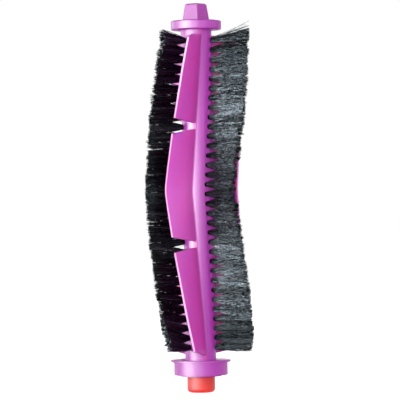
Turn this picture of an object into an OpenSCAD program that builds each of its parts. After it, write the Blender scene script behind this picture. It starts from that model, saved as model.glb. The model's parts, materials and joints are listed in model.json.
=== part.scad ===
// Roller brush of a robot vacuum, standing upright on its bearing cap.
// The axis is Z, the origin is the centre of the cap's flat end, and -Y is the front.
// Chevron angles are counted from +X towards the front, so a positive angle turns clockwise from above.

/* [Core] */
// Diameter of the round core
core_d = 15; // [13.5:0.5:17]
// Length of the core between the end cup and the collar
core_l = 161.2; // [140:0.2:180]
// Diameter of the collar at the drive end
collar_d = 24.6; // [20:0.2:28]
// Thickness of the collar
collar_t = 4.5; // [3:0.1:7]
// Radius of the collar's edges
collar_edge_r = 0.6; // [0.2:0.1:1]
// Diameter of the spigot that the end cup is pressed on
spigot_d = 11; // [9:0.2:12]

/* [Drive boss] */
// Height of the square drive boss
boss_h = 8.4; // [6:0.2:12]
// Side of the boss at its foot
boss_foot_w = 9.4; // [8:0.1:11]
// Side of the boss at its top, below the chamfer
boss_top_w = 7.5; // [5:0.1:8]
// Chamfer round the top of the boss
boss_chamfer = 0.6; // [0.3:0.1:1]
// Turn of the boss about the axis, in degrees
boss_turn = 52; // [0:1:89]

/* [Chevron sweep] */
// Length of core over which the blades and rows would turn once round (mm)
sweep_lead = 640.6; // [450:0.2:2000]
// Height of the chevron's point above the end cup
point_h = 82.8; // [70:0.2:90]
// Length over which the chevron's point is rounded
point_blend = 2; // [0.5:0.1:4]

/* [Blades] */
// Angle of the first blade's root at the chevron's point
blade_phase = 118.5; // [100:0.1:125]
// Length of a blade from the core's surface to its tip
blade_len = 13.9; // [10:0.1:15]
// Lean of a blade from the radial direction, in degrees
blade_lean = 35; // [30:1:45]
// Thickness of a blade at its root
blade_root_t = 1.4; // [1.2:0.1:2.2]
// Thickness of a blade at its tip
blade_tip_t = 1.1; // [0.8:0.1:1.5]
// Size of the fillet between a blade and its foot strip
root_fillet = 0.2; // [0.15:0.05:0.5]
// Height of the foot strip above the core's surface
foot_h = 0.2; // [0.2:0.05:0.5]
// Height of the lower notch's middle above the end cup
notch_low_h = 56.5; // [45:0.1:65]
// Height of the upper notch's middle above the end cup
notch_high_h = 114.1; // [105:0.1:120]
// Width of a notch at the blade's tip
notch_tip_w = 7.6; // [5:0.1:10]
// Width of a notch at the blade's root
notch_root_w = 2.9; // [1.5:0.1:4]
// Distance from the collar to the blade's flat upper end
blade_high_gap = 2.7; // [1:0.1:6]
// Height of the slanted corner at the blade's upper end
blade_corner_h = 1.9; // [0.5:0.1:4]
// Share of the blade's length that the slanted corner takes
blade_corner_share = 0.38; // [0.1:0.02:0.9]
// Distance from the end cup to the blade's lower corner at its tip
blade_low_gap = 5.2; // [3:0.1:8]
// Distance from the end cup to the blade's lower corner at its root
blade_low_rise = 2.6; // [1:0.1:3]
// Number of keys under each blade
key_count = 6; // [3:1:9]
// Diameter of a key
key_d = 1.6; // [1.4:0.1:2.2]
// Depth of a key below the core's surface
key_depth = 2; // [1.5:0.1:2.5]

/* [Bristle rows] */
// Diameter of the circle that the bristle tips describe
bristle_d = 51.7; // [44:0.1:56]
// Angle of the first row's root at the chevron's point
row_phase = 58.5; // [50:0.1:65]
// Number of tufts in a row
tuft_count = 33; // [20:1:35]
// Diameter of a tuft where it leaves the core
tuft_d = 2.2; // [1.8:0.1:2.4]
// Lean of a tuft from the radial direction, in degrees
tuft_lean = 12.5; // [0:0.5:15]
// Distance from the core at which neighbouring tufts meet
fan_knee = 5.2; // [3:0.1:9]
// Width of a tuft's fan where neighbouring tufts meet, along the core
fan_knee_w = 4.9; // [4:0.1:6]
// Width of a tuft's fan at its tips, along the core
fan_w = 7.4; // [5:0.1:8]
// Thickness of a tuft's fan at its tips, across the row
fan_t = 3.6; // [2.5:0.1:4.5]
// Height of the lowest tuft above the end cup
row_low_gap = 6.1; // [4:0.1:10]
// Distance of the highest tuft from the collar
row_high_gap = 5.4; // [4:0.1:10]
// Lift of each row's highest tuft towards the collar, in degrees
high_lifts = [8, 3, 0]; // [0:1:10]
// Lift of each row's lowest tuft towards the collar, in degrees
low_lifts = [6, 9, 6]; // [0:1:10]
// Number of tufts over which a lift fades away
lift_tufts = 4; // [1:1:6]
// Depth of a tuft hole
tuft_hole_depth = 4; // [3:0.1:4.5]

/* [Tuft anchors] */
// Thickness of the flat metal anchor
anchor_t = 0.3; // [0.2:0.05:0.4]
// Height of the anchor along the tuft hole
anchor_h = 1.3; // [1:0.1:1.8]

/* [End cup] */
// Diameter of the rim disc
rim_d = 29.2; // [27:0.1:32]
// Thickness of the rim disc
rim_t = 0.9; // [0.7:0.1:1.5]
// Diameter of the cup's skirt
skirt_d = 26.2; // [24:0.1:26.5]
// Height of the skirt below the rim disc
skirt_h = 6.35; // [5:0.05:8]
// Diameter of the cup's hub
hub_d = 20.3; // [18.5:0.1:21]
// Distance that the hub stands out below the skirt
hub_drop = 0.65; // [0.3:0.05:1]
// Wall of the cup
cup_wall = 1.2; // [0.9:0.1:1.5]
// Number of ribs between hub and skirt
rib_count = 8; // [4:1:12]
// Depth of the recess in the hub that covers the bearing cap
hub_recess = 3.5; // [3:0.1:4]

/* [Bearing] */
// Bore of the ball bearing
bearing_bore = 4; // [3:0.1:4.4]
// Outer diameter of the ball bearing
bearing_d = 10; // [9.6:0.1:10.4]
// Width of the ball bearing
bearing_w = 4; // [3.6:0.1:4.4]
// Wall of the inner race and of the outer race
race_wall = 0.8; // [0.7:0.05:0.9]
// Number of balls
ball_count = 8; // [5:1:9]
// Diameter of a ball
ball_d = 1.6; // [1.4:0.05:1.8]
// Thickness of a shield
shield_t = 0.2; // [0.15:0.05:0.3]

/* [Axle] */
// Length of the axle pin inside the core
pin_grip = 15; // [10:0.5:20]
// Thickness of the retaining ring
ring_t = 0.6; // [0.4:0.05:0.7]
// Diameter of the retaining ring
ring_d = 6.8; // [6.2:0.1:7]
// Depth of the ring's groove in the pin
groove_depth = 0.4; // [0.3:0.05:0.5]
// Thickness of the shim washer
shim_t = 0.3; // [0.2:0.05:0.5]
// Thickness of the felt seal
felt_t = 1.2; // [0.8:0.1:1.4]

/* [Bearing cap] */
// Outer diameter of the bearing cap
cap_d = 13.6; // [13:0.1:14]
// Height of the bearing cap that stands out below the end cup
cap_reach = 8; // [7.6:0.1:9]
// Diameter of the cap's neck inside the hub's recess
cap_neck_d = 13.1; // [12.6:0.1:13.5]
// Thickness of the cap's closed end
cap_end_t = 1.5; // [1.2:0.1:2]
// Radius of the corner round the cap's flat end
cap_corner_r = 1.9; // [1:0.1:2]

/* [Fits] */
// Radial gap of pieces that are pressed together
press_gap = 0.02; // [0.01:0.01:0.05]
// Radial gap of pieces that slip over each other
slip_gap = 0.05; // [0.02:0.01:0.1]
// Gap between pieces that turn past each other
free_gap = 0.3; // [0.25:0.05:0.35]
// Radial gap round the bearing cap in the hub's recess
mouth_gap = 0.4; // [0.3:0.05:0.6]
// Gap between a blade and the core it is moulded on
bond_gap = 0.04; // [0.02:0.01:0.1]

/* [Hidden] */

// Faces of round pieces, of the small bundle of a tuft and of a key
$fn = 96;
tuft_faces = 8;
key_faces = 12;
// Overrun of every cut
over = 1;
// Three blades and three rows stand evenly round the core
rows = 3;
row_step = 360 / rows;

core_r = core_d / 2;
cup_top = cap_reach + hub_drop + skirt_h + rim_t;
collar_z = cup_top + core_l;
collar_top = collar_z + collar_t;
point_z = cup_top + point_h;

// Bearing and axle, from the cap's end up
pin_end_gap = 0.3;
pin_z = cap_end_t + pin_end_gap;
pin_d = bearing_bore;
pin_nose = 0.4;
ring_gap = 0.03;
ring_z = pin_z + pin_nose + ring_gap;
shim_z = ring_z + ring_t + ring_gap;
bearing_z = shim_z + shim_t;
bearing_top = bearing_z + bearing_w;
recess_z = cap_reach + hub_recess;
spigot_z = recess_z;
cap_top = recess_z - felt_t - free_gap;
inner_race_d = bearing_bore + 2 * race_wall;
outer_race_bore = bearing_d - 2 * race_wall;
pitch_r = (inner_race_d + outer_race_bore) / 4;
ball_z = bearing_z + bearing_w / 2;
track_r = ball_d / 2 + slip_gap;
cap_bore_r = bearing_d / 2 + press_gap;
recess_r = cap_d / 2 + mouth_gap;

// Turn about Z of the chevron at height z, with its point rounded
function sweep(z) =
    360 / sweep_lead * (sqrt(pow(z - point_z, 2) + point_blend * point_blend) - point_blend);
// Heading of blade i's root and of row i's root at height z
function blade_turn(i, z) = -blade_phase - i * row_step + sweep(z);
function row_turn(i, z) = -row_phase - i * row_step + sweep(z);
function spin(p, a) = [p.x * cos(a) - p.y * sin(a), p.x * sin(a) + p.y * cos(a)];

// Places of the tufts
tuft_pitch = (core_l - row_low_gap - row_high_gap) / (tuft_count - 1);
tuft_hole_r = tuft_d / 2 + slip_gap;
function tuft_z(k) = cup_top + row_low_gap + k * tuft_pitch;
function fade(n) = pow(max(0, 1 - n / lift_tufts), 1.5);
function lift(i, k) = high_lifts[i] * fade(tuft_count - 1 - k) + low_lifts[i] * fade(k);
// Length of a tuft whose tips reach the brush's circle from the core at its lean
tuft_len = sqrt(pow(bristle_d / 2, 2) - pow(core_r * sin(tuft_lean), 2)) - core_r * cos(tuft_lean);

// Places of the keys under a blade, clear of its ends
key_margin = 12;
function key_z(j) = cup_top + key_margin + j * (core_l - 2 * key_margin) / (key_count - 1);

module ring(outer_r, inner_r, h) {
    difference() {
        cylinder(r = outer_r, h = h);
        translate([0, 0, -over]) cylinder(r = inner_r, h = h + 2 * over);
    }
}

// A round post or hole that points outwards from the axis between two radii
module spoke(r, from_r, to_r, faces = 32) {
    translate([from_r, 0, 0]) rotate([0, 90, 0]) cylinder(r = r, h = to_r - from_r, $fn = faces);
}

// Half of the boss's outline, from its foot to its chamfered top
module boss_side() {
    foot = boss_foot_w / 2;
    top = boss_top_w / 2;
    shoulder = boss_h - boss_chamfer;
    lip = top - boss_chamfer;
    polygon([
        [-foot, -over], [foot, -over], [foot, 0], [top, shoulder], [lip, boss_h],
        [-lip, boss_h], [-top, shoulder], [-foot, 0]
    ]);
}

module drive_boss() {
    intersection() {
        rotate([90, 0, 0]) linear_extrude(boss_foot_w, center = true) boss_side();
        rotate([90, 0, 90]) linear_extrude(boss_foot_w, center = true) boss_side();
    }
}

module collar() {
    rotate_extrude() {
        difference() {
            square([collar_d / 2, collar_t]);
            for (y = [0, collar_t]) {
                translate([collar_d / 2, y]) circle(collar_edge_r);
            }
        }
        for (y = [collar_edge_r, collar_t - collar_edge_r]) {
            translate([collar_d / 2 - collar_edge_r, y]) circle(collar_edge_r);
        }
    }
}

module roller_core() {
    color("orchid")
    difference() {
        union() {
            translate([0, 0, cup_top]) cylinder(r = core_r, h = core_l + collar_t / 2);
            translate([0, 0, spigot_z]) cylinder(d = spigot_d, h = cup_top - spigot_z + over);
            translate([0, 0, collar_z]) collar();
            translate([0, 0, collar_top]) rotate([0, 0, boss_turn]) drive_boss();
        }
        translate([0, 0, spigot_z - over])
            cylinder(d = pin_d + 2 * press_gap, h = pin_grip + over + pin_end_gap);
        for (i = [0 : rows - 1]) {
            for (k = [0 : tuft_count - 1]) {
                translate([0, 0, tuft_z(k)]) rotate([0, 0, row_turn(i, tuft_z(k))])
                    spoke(tuft_hole_r, core_r - tuft_hole_depth, core_r + over);
            }
            for (j = [0 : key_count - 1]) {
                translate([0, 0, key_z(j)]) rotate([0, 0, blade_turn(i, key_z(j))])
                    spoke(key_d / 2 + press_gap, core_r - key_depth - press_gap, core_r + over);
            }
        }
    }
}

// Distance along the blade from its root line to the core's surface, for a side that lies off the middle
function seat(off) =
    let (r = core_r + bond_gap, c = core_r * cos(blade_lean))
    sqrt(c * c + r * r - core_r * core_r - 2 * core_r * off * sin(blade_lean) - off * off) - c;
// Point of the blade's section, from its place along the blade and off its middle
function blade_point(along, off) = [core_r, 0] + spin([along, off], -blade_lean);

// Half of a blade's full section, from the core's surface to the middle of its tip, on one side
tip_bevel = blade_tip_t / 5;
foot_half_t = blade_root_t / 2 + root_fillet;
function blade_half_t(along) = (blade_root_t + (blade_tip_t - blade_root_t) * along / blade_len) / 2;
function blade_side(side) =
    let (root = side * blade_root_t / 2, bend = side * (blade_root_t / 2 + root_fillet / 4),
        shoulder = blade_len - tip_bevel)
    [
        [seat(side * foot_half_t) + foot_h, side * foot_half_t],
        [seat(bend) + foot_h + root_fillet / 4, bend],
        [seat(root) + foot_h + root_fillet, root],
        [shoulder, side * blade_half_t(shoulder)],
        [blade_len, side * (blade_half_t(blade_len) - tip_bevel)]
    ];
// Section of a blade cut down to a share of its length, at its root's heading
seat_steps = 4;
function cut_down(p, share) =
    let (low = seat(p.y) + foot_h)
    blade_point(low + (p.x - low) * share, p.y);
function blade_section(share) =
    let (one = blade_side(-1), other = blade_side(1), last = len(one) - 1)
    [
        for (n = [0 : seat_steps])
            let (off = foot_half_t * (1 - 2 * n / seat_steps))
            blade_point(seat(off), off),
        for (p = one) cut_down(p, share),
        for (n = [last : -1 : 0]) cut_down(other[n], share)
    ];

notches = [notch_low_h, notch_high_h];
// Height in which a blade's flat upper end drops to its foot strip
end_step = 0.15;
// Share of its full length that a blade has at height h above the end cup
function notch_share(h, n) = (abs(h - n) - notch_root_w / 2) / (notch_tip_w - notch_root_w) * 2;
function end_share(d) =
    d < 0 ? (1 - blade_corner_share) * (1 + d / end_step) : 1 - blade_corner_share * (1 - d / blade_corner_h);
function blade_share(h) = max(0, min(1,
    (h - blade_low_rise) / (blade_low_gap - blade_low_rise),
    end_share(core_l - blade_high_gap - h),
    notch_share(h, notch_low_h),
    notch_share(h, notch_high_h)));

// Heights above the end cup where a blade's outline turns, in order, and rings between them
function sorted(v) = len(v) < 2 ? v :
    let (rest = [for (n = [1 : len(v) - 1]) v[n]])
    concat(sorted([for (x = rest) if (x < v[0]) x]), [v[0]], sorted([for (x = rest) if (x >= v[0]) x]));
ring_step = 6;
turns = sorted([
    bond_gap, blade_low_rise, blade_low_gap,
    for (n = notches, w = [notch_tip_w, notch_root_w], side = [-1, 1]) n + side * w / 2,
    for (share = [-2, -0.7, 0, 0.7, 2]) point_h + share * point_blend,
    for (d = [blade_corner_h, 0, -end_step]) core_l - blade_high_gap - d,
    core_l - bond_gap
]);
ring_heights = [
    for (n = [1 : len(turns) - 1])
        let (span = turns[n] - turns[n - 1], count = ceil(span / ring_step))
        for (m = [0 : count - 1]) turns[n - 1] + m * span / count,
    turns[len(turns) - 1]
];

module blade_sweep(i) {
    last = len(ring_heights) - 1;
    count = len(blade_section(1));
    points = [
        for (h = ring_heights, p = blade_section(blade_share(h)))
            let (z = cup_top + h, q = spin(p, blade_turn(i, z)))
            [q.x, q.y, z]
    ];
    sides = [
        for (n = [0 : last - 1], m = [0 : count - 1])
            let (a = n * count + m, b = n * count + (m + 1) % count)
            each [[a, b, a + count], [b, b + count, a + count]]
    ];
    bottom = [for (m = [0 : count - 1]) m];
    top = [for (m = [count - 1 : -1 : 0]) last * count + m];
    polyhedron(points, concat(sides, [bottom, top]));
}

module sweep_blade(i) {
    color("mediumorchid")
    union() {
        blade_sweep(i);
        for (j = [0 : key_count - 1]) {
            translate([0, 0, key_z(j)]) rotate([0, 0, blade_turn(i, key_z(j))])
                spoke(key_d / 2, core_r - key_depth, core_r + foot_h, key_faces);
        }
    }
}

// Share by which a tuft may be longer or shorter than the rest
ragged_share = 1 / 60;
// Unevenness of a tuft, between -1 and 1, that differs from tuft to tuft
function ragged(i, k) = sin(k * 137 + i * 71) * cos(k * 61 + i * 29);

// Point of a tuft outside the core, from its place in the upright tuft
function leaned(p, up) =
    let (q = [p.x * cos(up) - p.z * sin(up), p.y, p.x * sin(up) + p.z * cos(up)])
    [core_r + q.x * cos(tuft_lean) - q.y * sin(tuft_lean), q.x * sin(tuft_lean) + q.y * cos(tuft_lean), q.z];
// Outline of a tuft across its own direction
function tuft_ring(x, w, t) = [
    for (m = [0 : tuft_faces - 1])
        let (a = 360 * (m + 0.5) / tuft_faces)
        [x, cos(a) * t / 2, sin(a) * w / 2]
];

// A folded tuft from the bottom of its hole to its tips, leaning and lifted where it leaves the core
module tuft(length, lifted) {
    bottom_r = core_r - tuft_hole_depth + slip_gap;
    brow = length - fan_t / 4;
    rings = [
        for (p = tuft_ring(bottom_r, tuft_d, tuft_d)) p,
        for (p = tuft_ring(core_r, tuft_d, tuft_d)) p,
        for (p = tuft_ring(fan_knee, fan_knee_w, (tuft_d + fan_t) / 2)) leaned(p, lifted),
        for (p = tuft_ring(brow, fan_w, fan_t)) leaned(p, lifted),
        for (p = tuft_ring(length, fan_w * 0.9, fan_t * 0.6)) leaned(p, lifted)
    ];
    n = tuft_faces;
    sides = [
        for (r = [0 : 3], m = [0 : n - 1])
            let (a = r * n + m, b = r * n + (m + 1) % n)
            each [[a, a + n, b], [b, a + n, b + n]]
    ];
    bottom = [for (m = [0 : n - 1]) m];
    tips = [for (m = [n - 1 : -1 : 0]) 4 * n + m];
    difference() {
        polyhedron(rings, concat(sides, [bottom, tips]));
        translate([bottom_r - over, -anchor_t / 2 - slip_gap, -tuft_d])
            cube([anchor_h + slip_gap + over, anchor_t + 2 * slip_gap, 2 * tuft_d]);
    }
}

module bristle_row(i) {
    color("#22222a")
    union() {
        for (k = [0 : tuft_count - 1]) {
            translate([0, 0, tuft_z(k)]) rotate([0, 0, row_turn(i, tuft_z(k))])
                tuft(tuft_len * (1 + ragged(i, k) * ragged_share), lift(i, k));
        }
    }
}

module tuft_anchors(i) {
    bottom_r = core_r - tuft_hole_depth + slip_gap;
    half_w = sqrt(pow(tuft_d / 2, 2) - pow(anchor_t / 2, 2));
    color("silver")
    for (k = [0 : tuft_count - 1]) {
        translate([0, 0, tuft_z(k)]) rotate([0, 0, row_turn(i, tuft_z(k))])
            translate([bottom_r, -anchor_t / 2, -half_w]) cube([anchor_h, anchor_t, 2 * half_w]);
    }
}

module end_cup() {
    skirt_z = cap_reach + hub_drop;
    rim_z = skirt_z + skirt_h;
    pocket_top = rim_z - cup_wall;
    color("plum")
    difference() {
        union() {
            translate([0, 0, rim_z]) cylinder(d = rim_d, h = rim_t);
            translate([0, 0, skirt_z]) cylinder(d = skirt_d, h = skirt_h + rim_t / 2);
            translate([0, 0, cap_reach]) cylinder(d = hub_d, h = skirt_h);
        }
        difference() {
            translate([0, 0, skirt_z - over]) ring(skirt_d / 2 - cup_wall, hub_d / 2, pocket_top - skirt_z + over);
            for (n = [0 : rib_count - 1]) {
                rotate([0, 0, n * 360 / rib_count]) translate([0, -cup_wall / 2, skirt_z])
                    cube([skirt_d / 2, cup_wall, skirt_h]);
            }
        }
        translate([0, 0, cap_reach - over]) cylinder(r = recess_r, h = hub_recess + over);
        cylinder(d = spigot_d + 2 * press_gap, h = cup_top + over);
    }
}

module axle_pin() {
    groove_h = ring_t + 2 * ring_gap;
    top_z = spigot_z + pin_grip;
    chamfer = pin_nose / 2;
    r = pin_d / 2;
    color("silver")
    rotate_extrude()
        polygon([
            [0, pin_z], [r - chamfer, pin_z], [r, pin_z + chamfer],
            [r, ring_z - ring_gap], [r - groove_depth, ring_z - ring_gap],
            [r - groove_depth, ring_z - ring_gap + groove_h], [r, ring_z - ring_gap + groove_h],
            [r, top_z - chamfer], [r - chamfer, top_z], [0, top_z]
        ]);
}

module spacer_bush() {
    color("gainsboro")
    translate([0, 0, bearing_top]) ring(inner_race_d / 2, pin_d / 2 + slip_gap, recess_z - bearing_top);
}

module felt_seal() {
    color("dimgray")
    translate([0, 0, recess_z - felt_t])
        ring(recess_r - slip_gap, inner_race_d / 2 + free_gap, felt_t);
}

module ball_track() {
    translate([0, 0, ball_z]) rotate_extrude() translate([pitch_r, 0]) circle(track_r);
}

module inner_race() {
    color("silver")
    difference() {
        translate([0, 0, bearing_z]) ring(inner_race_d / 2, bearing_bore / 2 + press_gap, bearing_w);
        ball_track();
    }
}

// Steps in both faces of the outer race that the shields are pressed into
shield_step = 0.3;
shield_r = outer_race_bore / 2 + shield_step;
shield_inset = 0.1;

module outer_race() {
    seat_h = shield_inset + shield_t;
    color("lightgray")
    difference() {
        translate([0, 0, bearing_z]) ring(bearing_d / 2, outer_race_bore / 2, bearing_w);
        ball_track();
        for (z = [bearing_z - over, bearing_top - seat_h]) {
            translate([0, 0, z]) cylinder(r = shield_r, h = seat_h + over);
        }
    }
}

module shield(z) {
    color("darkgray")
    translate([0, 0, z]) ring(shield_r - press_gap, inner_race_d / 2 + slip_gap * 3, shield_t);
}

module bearing_balls() {
    color("silver")
    for (n = [0 : ball_count - 1]) {
        rotate([0, 0, n * 360 / ball_count]) translate([pitch_r, 0, ball_z]) sphere(d = ball_d, $fn = 32);
    }
}

module ball_cage() {
    gap = race_wall / 4;
    cage_h = ball_d * 1.5;
    color("khaki")
    difference() {
        translate([0, 0, ball_z - cage_h / 2])
            ring(outer_race_bore / 2 - gap, inner_race_d / 2 + gap, cage_h);
        for (n = [0 : ball_count - 1]) {
            rotate([0, 0, n * 360 / ball_count]) translate([0, 0, ball_z])
                spoke(ball_d / 2 + slip_gap, inner_race_d / 2 - over, outer_race_bore / 2 + over);
        }
    }
}

module shim_washer() {
    color("gainsboro")
    translate([0, 0, shim_z]) ring(inner_race_d / 2, pin_d / 2 + slip_gap, shim_t);
}

module retaining_ring() {
    groove_r = pin_d / 2 - groove_depth + ring_gap;
    band = (ring_d - pin_d) / 4;
    mouth_w = pin_d * 0.7;
    color("dimgray")
    translate([0, 0, ring_z]) linear_extrude(ring_t) difference() {
        union() {
            difference() {
                circle(d = ring_d);
                circle(ring_d / 2 - band);
            }
            for (a = [90, 180, 270]) {
                rotate(a) translate([0, -band]) square([ring_d / 2 - band / 2, 2 * band]);
            }
        }
        circle(groove_r);
        translate([0, -mouth_w / 2]) square([ring_d, mouth_w]);
    }
}

module bearing_cap() {
    relief_r = outer_race_bore / 2;
    flat_r = cap_d / 2 - cap_corner_r;
    bead = 0.2;
    bead_z = bearing_top + press_gap;
    color("salmon")
    rotate_extrude() {
        difference() {
            union() {
                translate([0, cap_corner_r]) square([cap_d / 2, cap_reach - free_gap - cap_corner_r]);
                translate([0, cap_corner_r]) square([cap_neck_d / 2, cap_top - cap_corner_r]);
                square([flat_r, cap_corner_r]);
                translate([flat_r, cap_corner_r]) circle(cap_corner_r);
            }
            translate([-cap_d, 0]) square([cap_d, cap_top]);
            translate([0, cap_end_t]) square([relief_r, cap_top]);
            translate([0, bearing_z - press_gap]) square([cap_bore_r, cap_top]);
        }
        translate([cap_bore_r - bead, bead_z]) square([2 * bead, 2 * bead]);
    }
}

roller_core();
sweep_blade(0);  // sweep_blade_1
sweep_blade(1);  // sweep_blade_2
sweep_blade(2);  // sweep_blade_3
bristle_row(0);  // bristle_row_1
bristle_row(1);  // bristle_row_2
bristle_row(2);  // bristle_row_3
tuft_anchors(0);  // tuft_anchors_1
tuft_anchors(1);  // tuft_anchors_2
tuft_anchors(2);  // tuft_anchors_3
end_cup();
axle_pin();
spacer_bush();
felt_seal();
inner_race();
outer_race();
bearing_balls();
ball_cage();
shield(bearing_top - shield_inset - shield_t);  // upper_shield
shield(bearing_z + shield_inset);  // lower_shield
shim_washer();
retaining_ring();
bearing_cap();
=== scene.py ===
"""Robot vacuum roller brush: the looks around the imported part, in metres and in its frame."""

import json
import math

import bpy
import numpy as np
from mathutils import Euler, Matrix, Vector


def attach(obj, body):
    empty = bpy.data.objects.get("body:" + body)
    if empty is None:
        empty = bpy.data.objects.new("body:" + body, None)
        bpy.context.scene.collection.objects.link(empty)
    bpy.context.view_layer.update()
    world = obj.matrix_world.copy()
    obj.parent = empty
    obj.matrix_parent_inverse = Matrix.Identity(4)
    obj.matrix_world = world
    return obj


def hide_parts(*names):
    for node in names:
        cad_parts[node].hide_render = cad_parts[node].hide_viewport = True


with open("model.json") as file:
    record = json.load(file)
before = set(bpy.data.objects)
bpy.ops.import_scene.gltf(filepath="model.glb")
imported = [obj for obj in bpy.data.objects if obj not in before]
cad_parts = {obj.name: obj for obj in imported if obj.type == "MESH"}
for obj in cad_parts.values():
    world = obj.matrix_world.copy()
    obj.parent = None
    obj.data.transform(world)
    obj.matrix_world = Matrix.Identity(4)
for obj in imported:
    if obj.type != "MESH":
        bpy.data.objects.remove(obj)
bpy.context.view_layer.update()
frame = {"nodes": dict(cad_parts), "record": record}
NODES = frame["nodes"]

MM = 0.001

# Sizes that the brush shares with its CAD model, with angles in degrees
CORE_R = 7.5 * MM
CUP_TOP = 15.9 * MM
CORE_L = 161.2 * MM
POINT_Z = CUP_TOP + 82.8 * MM
SWEEP_LEAD = 640.6 * MM
POINT_BLEND = 2.0 * MM
COPIES = 3
COPY_STEP = 360 / COPIES

BLADE_PHASE = 118.5
BLADE_LEN = 13.9 * MM
BLADE_LEAN = 35
BLADE_ROOT_T = 1.4 * MM
BLADE_TIP_T = 1.1 * MM
ROOT_FILLET = 0.2 * MM
FILLET_H = 0.4 * MM
TIP_CORNER = 0.3 * MM
FOOT_H = 0.2 * MM
NOTCHES = (56.5 * MM, 114.1 * MM)
NOTCH_TIP_W = 7.6 * MM
NOTCH_ROOT_W = 2.9 * MM
BLADE_HIGH_GAP = 2.7 * MM
BLADE_CORNER_H = 1.9 * MM
BLADE_CORNER_SHARE = 0.38
BLADE_LOW_GAP = 5.2 * MM
BLADE_LOW_RISE = 2.6 * MM
END_STEP = 0.25 * MM

ROW_PHASE = 58.5
TUFT_COUNT = 33
TUFT_R = 1.1 * MM
TUFT_LEAN = 12.5
TIP_R = 25.85 * MM
ROW_LOW_GAP = 6.1 * MM
ROW_HIGH_GAP = 5.4 * MM
HIGH_LIFTS = (8, 3, 0)
LOW_LIFTS = (6, 9, 6)
LIFT_TUFTS = 4


def sweep(z):
    """Turn about Z of the chevron at height z, in degrees."""
    return 360 / SWEEP_LEAD * (np.sqrt((z - POINT_Z) ** 2 + POINT_BLEND**2) - POINT_BLEND)


def turned(x, y, degrees):
    """Plane points turned about the axis."""
    a = np.radians(degrees)
    return x * np.cos(a) - y * np.sin(a), x * np.sin(a) + y * np.cos(a)


def make_mesh(name, verts, faces, smooth=True):
    """A mesh object in the scene's collection."""
    mesh = bpy.data.meshes.new(name)
    mesh.from_pydata([tuple(v) for v in verts], [], faces)
    mesh.validate()
    mesh.polygons.foreach_set("use_smooth", [smooth] * len(mesh.polygons))
    obj = bpy.data.objects.new(name, mesh)
    bpy.context.scene.collection.objects.link(obj)
    return obj


def add_values(obj, name, values):
    """A number for each vertex, which the materials read by its name."""
    layer = obj.data.attributes.new(name, "FLOAT", "POINT")
    layer.data.foreach_set("value", np.array(values, dtype=np.float32))


# Materials


class Shade:
    """A node material with one Principled shader, built a few nodes at a time."""

    def __init__(self, name):
        self.material = bpy.data.materials.new(name)
        self.material.use_nodes = True
        self.tree = self.material.node_tree
        self.shader = self.tree.nodes["Principled BSDF"]
        self.coords = self.node("ShaderNodeTexCoord").outputs["Object"]

    def node(self, kind, **settings):
        made = self.tree.nodes.new(kind)
        for key, value in settings.items():
            setattr(made, key, value)
        return made

    def link(self, source, target):
        self.tree.links.new(source, target)

    def fix(self, **values):
        """Sets the shader's own sockets, named with underscores for spaces."""
        for key, value in values.items():
            self.shader.inputs[key.replace("_", " ")].default_value = value

    def stretched(self, scale):
        """Object coordinates stretched by a scale along each axis."""
        mapping = self.node("ShaderNodeMapping")
        mapping.inputs["Scale"].default_value = scale
        self.link(self.coords, mapping.inputs["Vector"])
        return mapping.outputs["Vector"]

    def noise(self, scale, detail=3.0, rough=0.5, stretch=(1, 1, 1)):
        made = self.node("ShaderNodeTexNoise")
        made.inputs["Scale"].default_value = scale
        made.inputs["Detail"].default_value = detail
        made.inputs["Roughness"].default_value = rough
        self.link(self.stretched(stretch), made.inputs["Vector"])
        return made.outputs["Fac"]

    def ramp(self, value, stops):
        """A colour ramp over a value, from (place, colour) pairs."""
        made = self.node("ShaderNodeValToRGB")
        elements = made.color_ramp.elements
        while len(elements) < len(stops):
            elements.new(0.5)
        for element, (place, colour) in zip(elements, stops):
            element.position = place
            element.color = (*colour, 1)
        self.link(value, made.inputs["Fac"])
        return made.outputs["Color"]

    def range(self, value, low, high):
        """A value between 0 and 1 spread over another range."""
        made = self.node("ShaderNodeMapRange")
        made.inputs["To Min"].default_value = low
        made.inputs["To Max"].default_value = high
        self.link(value, made.inputs["Value"])
        return made.outputs["Result"]

    def mix(self, share, first, second, blend="MIX"):
        """One colour mixed into another, where the node's colour sockets are 6, 7 and output 2."""
        made = self.node("ShaderNodeMix", data_type="RGBA", blend_type=blend)
        for socket, value in ((0, share), (6, first), (7, second)):
            if isinstance(value, bpy.types.NodeSocket):
                self.link(value, made.inputs[socket])
            elif socket == 0:
                made.inputs[0].default_value = value
            else:
                made.inputs[socket].default_value = (*value, 1)
        return made.outputs[2]

    def bump(self, height, distance, strength=1.0, normal=None):
        made = self.node("ShaderNodeBump")
        made.inputs["Strength"].default_value = strength
        made.inputs["Distance"].default_value = distance
        self.link(height, made.inputs["Height"])
        if normal is not None:
            self.link(normal, made.inputs["Normal"])
        return made.outputs["Normal"]


def srgb(*rgb):
    """Linear colour of an sRGB colour given from 0 to 255."""
    return tuple((c / 255 / 12.92) if c <= 10 else ((c / 255 + 0.055) / 1.055) ** 2.4 for c in rgb)


def core_plastic():
    """Moulded orchid plastic: a fine satin skin with faint flow marks along the core."""
    s = Shade("core_plastic")
    flow = s.noise(90, 4, 0.55, (1, 1, 0.18))
    s.link(s.ramp(flow, [(0.3, srgb(183, 34, 181)), (0.7, srgb(189, 42, 187))]),
           s.shader.inputs["Base Color"])
    s.link(s.range(s.noise(600, 3), 0.36, 0.46), s.shader.inputs["Roughness"])
    grain = s.bump(s.noise(2600, 2), 0.00002, 0.5)
    s.link(s.bump(s.noise(160, 3), 0.0001, 0.2, grain), s.shader.inputs["Normal"])
    s.fix(Subsurface_Weight=0.2, Subsurface_Radius=(1.0, 0.4, 1.0), Subsurface_Scale=0.001, IOR=1.6,
          Specular_IOR_Level=0.5)
    return s.material


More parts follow.
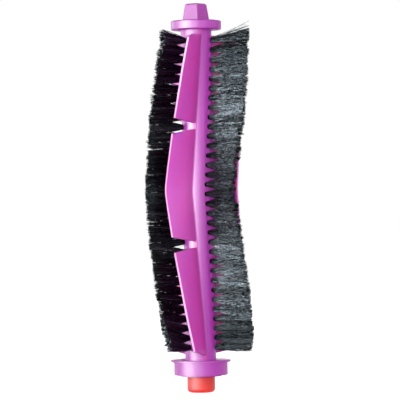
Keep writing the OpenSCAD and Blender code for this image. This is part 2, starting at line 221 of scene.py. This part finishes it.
def blade_rubber():
    """Soft magenta rubber that light passes into: a dull skin with faint streaks, painted shade that
    darkens it towards the root, and a paler tip that is a painted highlight.
    """
    s = Shade("blade_rubber")
    along = s.node("ShaderNodeAttribute", attribute_name="along").outputs["Fac"]
    flow = s.noise(70, 4, 0.55, (1, 1, 0.3))
    skin = s.ramp(flow, [(0.3, srgb(248, 78, 214)), (0.7, srgb(253, 86, 221))])
    # Painted shade: the skin is multiplied darker towards the blade's root, where the blade meets the
    # core.
    painted_root_shade = s.ramp(along, [(0.0, (0.55, 0.4, 0.55)), (0.3, (0.85, 0.75, 0.85)), (1.0, (1, 1, 1))])
    # Painted highlight: over the outermost few hundredths of the blade, counted out from the root, the
    # colour turns pale pink, standing in for light caught along the tip edge.
    tip = s.ramp(along, [(0.965, (0, 0, 0)), (0.985, (1, 1, 1))])
    shaded = s.mix(1.0, skin, painted_root_shade, "MULTIPLY")
    s.link(s.mix(tip, shaded, srgb(255, 160, 230)), s.shader.inputs["Base Color"])
    s.link(s.range(s.noise(420, 3), 0.36, 0.46), s.shader.inputs["Roughness"])
    grain = s.bump(s.noise(2200, 2), 0.00002, 0.5)
    s.link(s.bump(s.noise(120, 2), 0.00015, 0.2, grain), s.shader.inputs["Normal"])
    depth = [(0.05, (0, 0, 0)), (0.2, (0.9, 0.9, 0.9)), (0.93, (0.9, 0.9, 0.9)), (0.975, (0.1, 0.1, 0.1))]
    s.link(s.ramp(along, depth), s.shader.inputs["Subsurface Weight"])
    s.fix(Subsurface_Radius=(1.0, 0.08, 0.16), Subsurface_Scale=0.004, Specular_IOR_Level=0.55)
    return s.material


def cap_rubber():
    """Soft coral rubber with a fine matt skin."""
    s = Shade("cap_rubber")
    cloud = s.noise(150, 3)
    s.link(s.ramp(cloud, [(0.3, srgb(254, 46, 38)), (0.7, srgb(255, 54, 46))]),
           s.shader.inputs["Base Color"])
    s.link(s.range(s.noise(900, 3), 0.42, 0.58), s.shader.inputs["Roughness"])
    s.link(s.bump(s.noise(2600, 2), 0.00004, 0.6), s.shader.inputs["Normal"])
    s.fix(Subsurface_Weight=0.8, Subsurface_Radius=(1.0, 0.15, 0.12), Subsurface_Scale=0.003,
          Specular_IOR_Level=0.45)
    return s.material


def bristle_nylon():
    """Black nylon filaments: tones that differ by strand, and a streaky gloss that dies at the root as
    painted shade.
    """
    s = Shade("bristle_nylon")
    tone = s.node("ShaderNodeAttribute", attribute_name="tone").outputs["Fac"]
    root = s.node("ShaderNodeAttribute", attribute_name="root").outputs["Fac"]
    black = [(0.0, (0.001, 0.001, 0.002)), (0.7, (0.003, 0.004, 0.006)), (1.0, (0.05, 0.06, 0.07))]
    s.link(s.ramp(tone, black), s.shader.inputs["Base Color"])
    streak = s.noise(500, 2, 0.6, (1, 1, 5))
    s.link(s.range(streak, 0.36, 0.12), s.shader.inputs["Roughness"])
    s.link(s.bump(s.noise(2400, 1), 0.00001, 0.4), s.shader.inputs["Normal"])
    lit = s.ramp(streak, [(0.38, (0.1, 0.1, 0.1)), (0.58, (1, 1, 1))])
    # The root value scales the gloss down near the core as painted shade.
    for share in (s.ramp(tone, [(0.25, (0.12, 0.12, 0.12)), (0.75, (0.9, 0.9, 0.9))]), root):
        both = s.node("ShaderNodeMath", operation="MULTIPLY")
        s.link(lit, both.inputs[0])
        s.link(share, both.inputs[1])
        lit = both.outputs[0]
    s.link(lit, s.shader.inputs["Specular IOR Level"])
    s.fix(IOR=1.7, Specular_Tint=(0.75, 0.9, 1.0, 1.0))
    return s.material


def metal(name, colour, low, high, grain):
    """Bright metal with fine machining marks round the axis."""
    s = Shade(name)
    marks = s.noise(grain, 3, 0.6, (0.15, 0.15, 1))
    darker = tuple(0.85 * c for c in colour)
    s.link(s.ramp(marks, [(0.2, darker), (0.8, colour)]), s.shader.inputs["Base Color"])
    s.link(s.range(marks, low, high), s.shader.inputs["Roughness"])
    s.link(s.bump(marks, 0.00001, 0.4), s.shader.inputs["Normal"])
    s.fix(Metallic=1.0)
    return s.material


def felt():
    """Pressed grey felt: matt fibres in all directions."""
    s = Shade("felt")
    fibre = s.noise(3000, 6, 0.7)
    s.link(s.ramp(fibre, [(0.3, (0.03, 0.03, 0.033)), (0.7, (0.09, 0.09, 0.095))]),
           s.shader.inputs["Base Color"])
    s.link(s.bump(fibre, 0.0001, 0.8), s.shader.inputs["Normal"])
    s.fix(Roughness=0.95, Sheen_Weight=0.3)
    return s.material


def cage_plastic():
    """Natural nylon of the ball cage."""
    s = Shade("cage_plastic")
    cloud = s.noise(900, 3)
    s.link(s.ramp(cloud, [(0.3, (0.60, 0.53, 0.38)), (0.7, (0.68, 0.61, 0.46))]),
           s.shader.inputs["Base Color"])
    s.link(s.range(cloud, 0.45, 0.6), s.shader.inputs["Roughness"])
    return s.material


MATERIALS = {
    "core_plastic": core_plastic(),
    "blade_rubber": blade_rubber(),
    "cap_rubber": cap_rubber(),
    "bristle_nylon": bristle_nylon(),
    "steel": metal("steel", (0.62, 0.62, 0.64), 0.16, 0.32, 1800),
    "spring_steel": metal("spring_steel", (0.22, 0.22, 0.24), 0.3, 0.45, 1200),
    "felt": felt(),
    "cage_plastic": cage_plastic(),
}


def dress_nodes():
    """Gives every CAD node the material of its slot."""
    for part in frame["record"]["subparts"]:
        node = NODES[part["node"]]
        node.data.materials.clear()
        node.data.materials.append(MATERIALS[part["material_slot"]])


# Blades

FILLET_STEPS = 5
FACE_STEPS = 4
TIP_STEPS = 4
FOOT_STEPS = 6
BLADE_RING_GAP = 0.8 * MM
# The moulded blade isn't quite straight: a shallow wave along its tip
WAVE_H = 0.06 * MM
WAVE_TURN = 0.21
SHARP_ANGLE = 40


def blade_share(h):
    """Share of its full length that a blade has at height h above the end cup."""
    below = CORE_L - BLADE_HIGH_GAP - h
    if below < 0:
        end = (1 - BLADE_CORNER_SHARE) * (1 + below / END_STEP)
    else:
        end = 1 - BLADE_CORNER_SHARE * (1 - below / BLADE_CORNER_H)
    shares = [(h - BLADE_LOW_RISE) / (BLADE_LOW_GAP - BLADE_LOW_RISE), end]
    for n in NOTCHES:
        shares.append((abs(h - n) - NOTCH_ROOT_W / 2) / (NOTCH_TIP_W - NOTCH_ROOT_W) * 2)
    return max(0.0, min(1.0, *shares))


def blade_heights():
    """Heights of a blade's rings above the end cup, with one at each turn of its outline."""
    turns = [0.0, BLADE_LOW_RISE, BLADE_LOW_GAP, CORE_L, POINT_Z - CUP_TOP]
    turns += [CORE_L - BLADE_HIGH_GAP - d for d in (BLADE_CORNER_H, 0, -END_STEP)]
    turns += [n + side * w / 2 for n in NOTCHES for w in (NOTCH_TIP_W, NOTCH_ROOT_W) for side in (-1, 1)]
    turns.sort()
    heights = []
    for a, b in zip(turns, turns[1:]):
        count = max(1, math.ceil((b - a) / BLADE_RING_GAP))
        heights += [a + (b - a) * n / count for n in range(count)]
    return heights + [turns[-1]]


def blade_seat(off):
    """Distance along the blade from its root line to the core's surface, for a side off the middle."""
    c = CORE_R * math.cos(math.radians(BLADE_LEAN))
    s = math.sin(math.radians(BLADE_LEAN))
    return math.sqrt(c * c - 2 * CORE_R * off * s - off * off) - c


def blade_half(along):
    """Half the blade's thickness at a distance from its root."""
    return (BLADE_ROOT_T + (BLADE_TIP_T - BLADE_ROOT_T) * along / BLADE_LEN) / 2


def blade_side(side):
    """One side of a full section, from the foot strip up the fillet and face to the round tip corner."""
    root = BLADE_ROOT_T / 2
    points = []
    for a in np.radians(np.linspace(0, 90, FILLET_STEPS + 1)):
        off = side * (root + ROOT_FILLET * (1 - math.sin(a)))
        points.append((blade_seat(off) + FOOT_H + FILLET_H * (1 - math.cos(a)), off))
    base = points[-1][0]
    end = BLADE_LEN - TIP_CORNER
    points += [(x, side * blade_half(x)) for x in np.linspace(base, end, FACE_STEPS + 1)[1:]]
    flat = blade_half(end) - TIP_CORNER
    points += [(end + TIP_CORNER * math.sin(a), side * (flat + TIP_CORNER * math.cos(a)))
               for a in np.radians(np.linspace(0, 90, TIP_STEPS + 1)[1:])]
    return points


def blade_section(share):
    """Section of a blade that is cut down to a share of its full length."""

    def cut(x, off):
        low = blade_seat(off) + FOOT_H
        return low + (x - low) * share, off

    side, other = ([cut(*p) for p in blade_side(n)] for n in (1, -1))
    foot = BLADE_ROOT_T / 2 + ROOT_FILLET
    under = [(blade_seat(off), off) for off in np.linspace(-foot, foot, FOOT_STEPS + 1)]
    return side + other[::-1] + under


def make_blade(i):
    """One blade with its foot strip, swept along the core."""
    heights = blade_heights()
    verts, along = [], []
    lean = math.radians(-BLADE_LEAN)
    for h in heights:
        share = blade_share(h)
        section = np.array(blade_section(share))
        z = CUP_TOP + h
        along += np.clip(section[:, 0] / BLADE_LEN, 0, 1).tolist()
        wave = WAVE_H * math.sin(h / MM * WAVE_TURN + i) * share * section[:, 0] / BLADE_LEN
        x = CORE_R + section[:, 0] * math.cos(lean) - (section[:, 1] + wave) * math.sin(lean)
        y = section[:, 0] * math.sin(lean) + (section[:, 1] + wave) * math.cos(lean)
        x, y = turned(x, y, -BLADE_PHASE - i * COPY_STEP + sweep(z))
        verts += list(zip(x, y, [z] * len(x)))
    n = len(section)
    faces = [(r * n + m, r * n + (m + 1) % n, (r + 1) * n + (m + 1) % n, (r + 1) * n + m)
             for r in range(len(heights) - 1) for m in range(n)]
    last = (len(heights) - 1) * n
    faces += [tuple(range(n - 1, -1, -1)), tuple(range(last, last + n))]
    blade = make_mesh(f"blade_{i + 1}", verts, faces)
    blade.data.materials.append(MATERIALS["blade_rubber"])
    add_values(blade, "along", along)
    blade.data.set_sharp_from_angle(angle=math.radians(SHARP_ANGLE))
    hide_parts(f"sweep_blade_{i + 1}")
    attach(blade, "roller")


# Bristles

FILAMENTS = 210
FILAMENT_R = 0.09 * MM
SEGMENTS = 4
SIDES = 3
BRISTLE_SEED = 7
TUFT_DEPTH = 2.0 * MM

# The filaments gather in clumps, and each leans partly with its own place and partly with its clump
CLUMPS = 15
CLUMP_REACH = 0.55
CLUMP_BLUR = 0.18
CLUMP_PULL = (0.35, 0.85)
TUFT_FILL = 0.9
HOLE_SQUEEZE = 0.82

# Slopes of the filaments, along the core and across it
FAN_SLOPE = 0.12
OWN_FAN = 1.1
CLUMP_FAN = 1.2
ALONG_SPREAD = 0.04
ACROSS_SLOPE = 0.04
OWN_ACROSS = 0.028
CLUMP_ACROSS = 0.03
ACROSS_LIMIT = 0.05
STRAYS = 0.035
STRAY_ALONG = 0.12
STRAY_ACROSS = 0.10
FAN_FLARE = 1.05 * MM
FLARE_L = 3.5 * MM

# The first row's last tuft throws some filaments up past the others
LOOSE_ROW = 0
LOOSE_MEAN = -0.05
LOOSE_SPREAD = 0.1

# How far the tips lie past the bristle circle, how unevenly they are cut, and how the filaments bend
TIP_OVER = 0.2 * MM
TIP_LIMIT = 0.6 * MM
TIP_SPREAD = 0.6 * MM
TUFT_UNEVEN = 0.22 * MM
CLUMP_UNEVEN = 0.5 * MM
OWN_BEND = 0.28 * MM
CLUMP_BEND = 0.4 * MM
WAVER = 0.1 * MM
STEP_SHIFT = 0.08

# The gloss starts from ROOT_LEVEL at the core and is full at ROOT_DULL from it, as painted shade standing
# in for the shade between the filaments near the core
ROOT_DULL = 2.5 * MM
ROOT_LEVEL = 0.05
CLUMP_TONE = 0.55


def tuft_lift(i, k):
    """Lift of row i's tuft k towards the collar, in degrees."""

    def fade(n):
        return max(0.0, 1 - n / LIFT_TUFTS) ** 1.5

    return HIGH_LIFTS[i] * fade(TUFT_COUNT - 1 - k) + LOW_LIFTS[i] * fade(k)


def unit(v):
    """Vectors of length 1."""
    return v / np.linalg.norm(v, axis=-1, keepdims=True)


def spun(v, degrees, first, second):
    """Points turned from one axis towards another."""
    a = math.radians(degrees)
    out = v.copy()
    out[..., first] = v[..., first] * math.cos(a) - v[..., second] * math.sin(a)
    out[..., second] = v[..., first] * math.sin(a) + v[..., second] * math.cos(a)
    return out


def tuft_slopes(rng, i, k, root):
    """Slopes of a tuft's filaments across the core and along it, and the clump that each belongs to."""
    count = len(root)
    centres = rng.normal(0, 1, (CLUMPS, 2))
    spot = root[:, 1:] / TUFT_R + rng.normal(0, CLUMP_BLUR, (count, 2))
    seats = np.clip(centres * CLUMP_REACH, -1, 1)
    clump = np.argmin(((spot[:, None] - seats[None]) ** 2).sum(2), 1)
    pull = rng.uniform(*CLUMP_PULL, CLUMPS)[clump]
    own_z = root[:, 2] / TUFT_R * FAN_SLOPE * OWN_FAN + rng.normal(0, ALONG_SPREAD, count)
    own_y = root[:, 1] / TUFT_R * ACROSS_SLOPE + rng.normal(0, OWN_ACROSS, count)
    clump_z = seats[clump, 1] * FAN_SLOPE * CLUMP_FAN + rng.normal(0, ALONG_SPREAD, CLUMPS)[clump]
    clump_y = seats[clump, 0] * ACROSS_SLOPE + rng.normal(0, CLUMP_ACROSS, CLUMPS)[clump]
    slope_z = own_z + (clump_z - own_z) * pull
    slope_y = own_y + (clump_y - own_y) * pull
    stray = rng.random(count) < STRAYS
    slope_z += stray * rng.normal(0, STRAY_ALONG, count)
    slope_y += stray * rng.normal(0, STRAY_ACROSS, count)
    if i == LOOSE_ROW and k == TUFT_COUNT - 1:
        slope_z += np.maximum(0, rng.normal(LOOSE_MEAN, LOOSE_SPREAD, count))
    return np.clip(slope_y, -ACROSS_LIMIT, ACROSS_LIMIT), slope_z, clump


def reach(start, d, radius):
    """Length from a start along direction d to a radius about the core's axis."""
    flat = d[:, :2]
    b = (start[:, :2] * flat).sum(1)
    c = (start[:, :2] ** 2).sum(1) - radius**2
    size = (flat**2).sum(1)
    return (-b + np.sqrt(b * b - size * c)) / size


def tuft_paths(rng, i, k):
    """Centre lines and tones of one tuft's filaments, in its own place: X outwards, Z along the core."""
    count = FILAMENTS
    r = TUFT_R * TUFT_FILL * np.sqrt(rng.random(count))
    a = rng.random(count) * 2 * math.pi
    root = np.stack([np.zeros(count), r * np.cos(a), r * np.sin(a)], 1)
    slope_y, slope_z, clump = tuft_slopes(rng, i, k, root)
    lift = tuft_lift(i, k)
    d = unit(np.stack([np.ones(count), slope_y, slope_z], 1))
    d = spun(spun(d, lift, 0, 2), TUFT_LEAN, 0, 1)
    start = root * HOLE_SQUEEZE + [CORE_R, 0, 0]
    uneven = rng.normal(0, TUFT_UNEVEN) + rng.normal(0, CLUMP_UNEVEN, CLUMPS)[clump]
    tip = TIP_R + TIP_OVER - np.abs(rng.normal(0, TIP_SPREAD, count)) + uneven
    length = reach(start, d, np.minimum(tip, TIP_R + TIP_LIMIT))
    bend = rng.normal(0, OWN_BEND, (count, 3)) + rng.normal(0, CLUMP_BEND, (CLUMPS, 3))[clump]
    bend = bend * [0, 1, 1]
    waver = rng.normal(0, WAVER, (count, 3)) * [0, 1, 1]
    steps = np.linspace(0, 1, SEGMENTS + 1)
    shift = rng.uniform(-STEP_SHIFT, STEP_SHIFT, (count, SEGMENTS + 1))
    steps = steps[None] + shift * (steps * (1 - steps) > 0)
    along = steps[..., None]
    paths = start[:, None] + d[:, None] * length[:, None, None] * along
    paths += bend[:, None] * (along**2 - along) * 2 + waver[:, None] * np.sin(along * 3 * math.pi)
    flare = FAN_FLARE * (1 - np.exp(-length[:, None] * steps / FLARE_L))
    paths[..., 2] += (root[:, 2] / TUFT_R)[:, None] * flare * math.cos(math.radians(lift))
    paths[:, 0] = start - [TUFT_DEPTH, 0, 0]
    tone = CLUMP_TONE * rng.random(CLUMPS)[clump] + (1 - CLUMP_TONE) * rng.random(count)
    return paths, tone


def tubes(paths, radius):
    """Vertices and faces of thin round filaments along many paths of equal point count, tips closed."""
    count, points, _ = paths.shape
    along = unit(np.gradient(paths, axis=1))
    side = unit(np.cross(along, np.broadcast_to([0.0, 0.0, 1.0], along.shape)))
    up = np.cross(side, along)
    angles = np.arange(SIDES) * 2 * math.pi / SIDES
    ring = side[:, :, None] * np.cos(angles)[:, None] + up[:, :, None] * np.sin(angles)[:, None]
    verts = paths[:, :, None] + ring * radius
    verts = np.concatenate([verts, verts[:, -1:]], 1)
    per = (points + 1) * SIDES
    quads = np.array([
        (low + m, low + (m + 1) % SIDES, low + SIDES + (m + 1) % SIDES, low + SIDES + m)
        for low in range(0, (points - 1) * SIDES, SIDES) for m in range(SIDES)
    ])
    caps = np.array([range(per - SIDES, per)])
    base = np.arange(count)[:, None, None] * per
    faces = (quads[None] + base).reshape(-1, 4).tolist() + (caps[None] + base).reshape(-1, SIDES).tolist()
    return verts.reshape(-1, 3), faces, per


def make_bristles(i):
    """One row of tufts, filament by filament."""
    rng = np.random.default_rng(BRISTLE_SEED + i)
    pitch = (CORE_L - ROW_LOW_GAP - ROW_HIGH_GAP) / (TUFT_COUNT - 1)
    rows, tones = [], []
    for k in range(TUFT_COUNT):
        z = CUP_TOP + ROW_LOW_GAP + k * pitch
        paths, tone = tuft_paths(rng, i, k)
        tones.append(tone)
        x, y = turned(paths[..., 0], paths[..., 1], -ROW_PHASE - i * COPY_STEP + sweep(z))
        rows.append(np.stack([x, y, paths[..., 2] + z], -1))
    paths = np.concatenate(rows)
    verts, faces, per = tubes(paths, FILAMENT_R)
    bristles = make_mesh(f"bristles_{i + 1}", verts, faces)
    add_values(bristles, "tone", np.repeat(np.concatenate(tones), per))
    # Painted shade: the root value dulls the gloss near the core, where shade falls between the filaments.
    out = np.hypot(verts[:, 0], verts[:, 1]) - CORE_R
    add_values(bristles, "root", ROOT_LEVEL + (1 - ROOT_LEVEL) * np.clip(out / ROOT_DULL, 0, 1))
    bristles.data.materials.append(MATERIALS["bristle_nylon"])
    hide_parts(f"bristle_row_{i + 1}")
    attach(bristles, "roller")


# Stage, lights and camera

FLOOR_R = 4.0
FLOOR_SIDES = 96
FLOOR_DROP = 0.02 * MM
FLOOR_GLOW = 0.95
WORLD_FILL = 0.02

LAMP_DISTANCE = 1.2
LAMP_AIM = Vector((0, 0, 0.095))
# Name, azimuth to the left of the camera in degrees, height above the floor, size, and power in watts
LAMPS = (
    ("key", 45, 0.25, (0.5, 0.4), 6.2),
    ("front", -5, 0.22, (0.5, 0.4), 2.6),
    ("front_right", -35, 0.22, (0.5, 0.4), 2.3),
    ("right", -62, 0.75, (0.5, 0.4), 3.8),
    ("back", 180, 0.6, (0.5, 0.4), 2.5),
)
GLOSS_PANELS = (
    ("panel_front", 14, 0.2, (0.8, 0.4), 11.5),
    ("panel_left", 48, 0.27, (0.8, 0.5), 22),
    ("panel_low", 58, 0.07, (0.9, 0.12), 16),
    ("panel_side", 80, 0.25, (0.8, 0.5), 8),
    ("panel_back", 127, 0.22, (0.7, 0.4), 4),
    ("panel_right", -85, 0.22, (0.8, 0.3), 1.2),
)

CAMERA_PLACE = (0.73 * MM, -1.22, 94 * MM)
CAMERA_LENS = 224.5
CAMERA_SENSOR = 36
CAMERA_ROLL = -0.85


def white_rays(tree):
    """1 for rays from the camera, off gloss and through clear pieces, and 0 for all others."""
    path = tree.nodes.new("ShaderNodeLightPath")
    rays = path.outputs["Is Camera Ray"]
    for kind in ("Is Glossy Ray", "Is Transmission Ray"):
        either = tree.nodes.new("ShaderNodeMath")
        either.operation = "MAXIMUM"
        tree.links.new(rays, either.inputs[0])
        tree.links.new(path.outputs[kind], either.inputs[1])
        rays = either.outputs[0]
    return rays


def make_floor():
    """A pale round floor that reads as white to the camera and still takes the brush's shadow."""
    turns = [2 * math.pi * n / FLOOR_SIDES for n in range(FLOOR_SIDES)]
    edge = [(FLOOR_R * math.cos(a), FLOOR_R * math.sin(a), -FLOOR_DROP) for a in turns]
    floor = make_mesh("floor", edge, [tuple(range(FLOOR_SIDES))], smooth=False)
    material = bpy.data.materials.new("floor")
    material.use_nodes = True
    tree = material.node_tree
    shader = tree.nodes["Principled BSDF"]
    shader.inputs["Base Color"].default_value = (0.9, 0.9, 0.9, 1)
    shader.inputs["Roughness"].default_value = 0.9
    glow = tree.nodes.new("ShaderNodeMath")
    glow.operation = "MULTIPLY"
    glow.inputs[1].default_value = FLOOR_GLOW
    tree.links.new(white_rays(tree), glow.inputs[0])
    shader.inputs["Emission Color"].default_value = (1, 1, 1, 1)
    tree.links.new(glow.outputs[0], shader.inputs["Emission Strength"])
    floor.data.materials.append(material)


def make_world():
    """A white studio to the camera and to gloss, and a faint fill light on the object."""
    world = bpy.data.worlds.new("studio")
    bpy.context.scene.world = world
    world.use_nodes = True
    tree = world.node_tree
    ground = tree.nodes["Background"]
    ground.inputs["Color"].default_value = (1, 1, 1, 1)
    strength = tree.nodes.new("ShaderNodeMapRange")
    strength.inputs["To Min"].default_value = WORLD_FILL
    strength.inputs["To Max"].default_value = 1.0
    tree.links.new(white_rays(tree), strength.inputs["Value"])
    tree.links.new(strength.outputs["Result"], ground.inputs["Strength"])


def make_light(name, azimuth, height, size, power, gloss_only):
    """A soft rectangular lamp, turned to the brush's middle."""
    data = bpy.data.lights.new(name, "AREA")
    data.shape = "RECTANGLE"
    data.size, data.size_y = size
    data.energy = power
    lamp = bpy.data.objects.new(name, data)
    a = math.radians(azimuth)
    place = Vector((-math.sin(a) * LAMP_DISTANCE, -math.cos(a) * LAMP_DISTANCE, height))
    lamp.location = place
    lamp.rotation_euler = (LAMP_AIM - place).to_track_quat("-Z", "Y").to_euler()
    lamp.visible_diffuse = not gloss_only
    bpy.context.scene.collection.objects.link(lamp)


def make_lights():
    """Plain lamps round the object, strongest from the left front, and panels that show in gloss alone."""
    for lamps, gloss_only in ((LAMPS, False), (GLOSS_PANELS, True)):
        for lamp in lamps:
            make_light(*lamp, gloss_only)


def make_camera():
    """The photograph's view: level, at half the brush's height, rolled a little to one side."""
    data = bpy.data.cameras.new("camera")
    data.sensor_width = CAMERA_SENSOR
    data.lens = CAMERA_LENS
    camera = bpy.data.objects.new("camera", data)
    camera.location = CAMERA_PLACE
    level = Euler((math.pi / 2, 0, 0)).to_matrix()
    roll = Euler((0, 0, math.radians(CAMERA_ROLL))).to_matrix()
    camera.rotation_euler = (level @ roll).to_euler()
    bpy.context.scene.collection.objects.link(camera)
    bpy.context.scene.camera = camera


dress_nodes()
for copy in range(COPIES):
    make_blade(copy)
    make_bristles(copy)
make_floor()
make_world()
make_lights()
make_camera()
bpy.context.scene.view_settings.view_transform = "Standard"
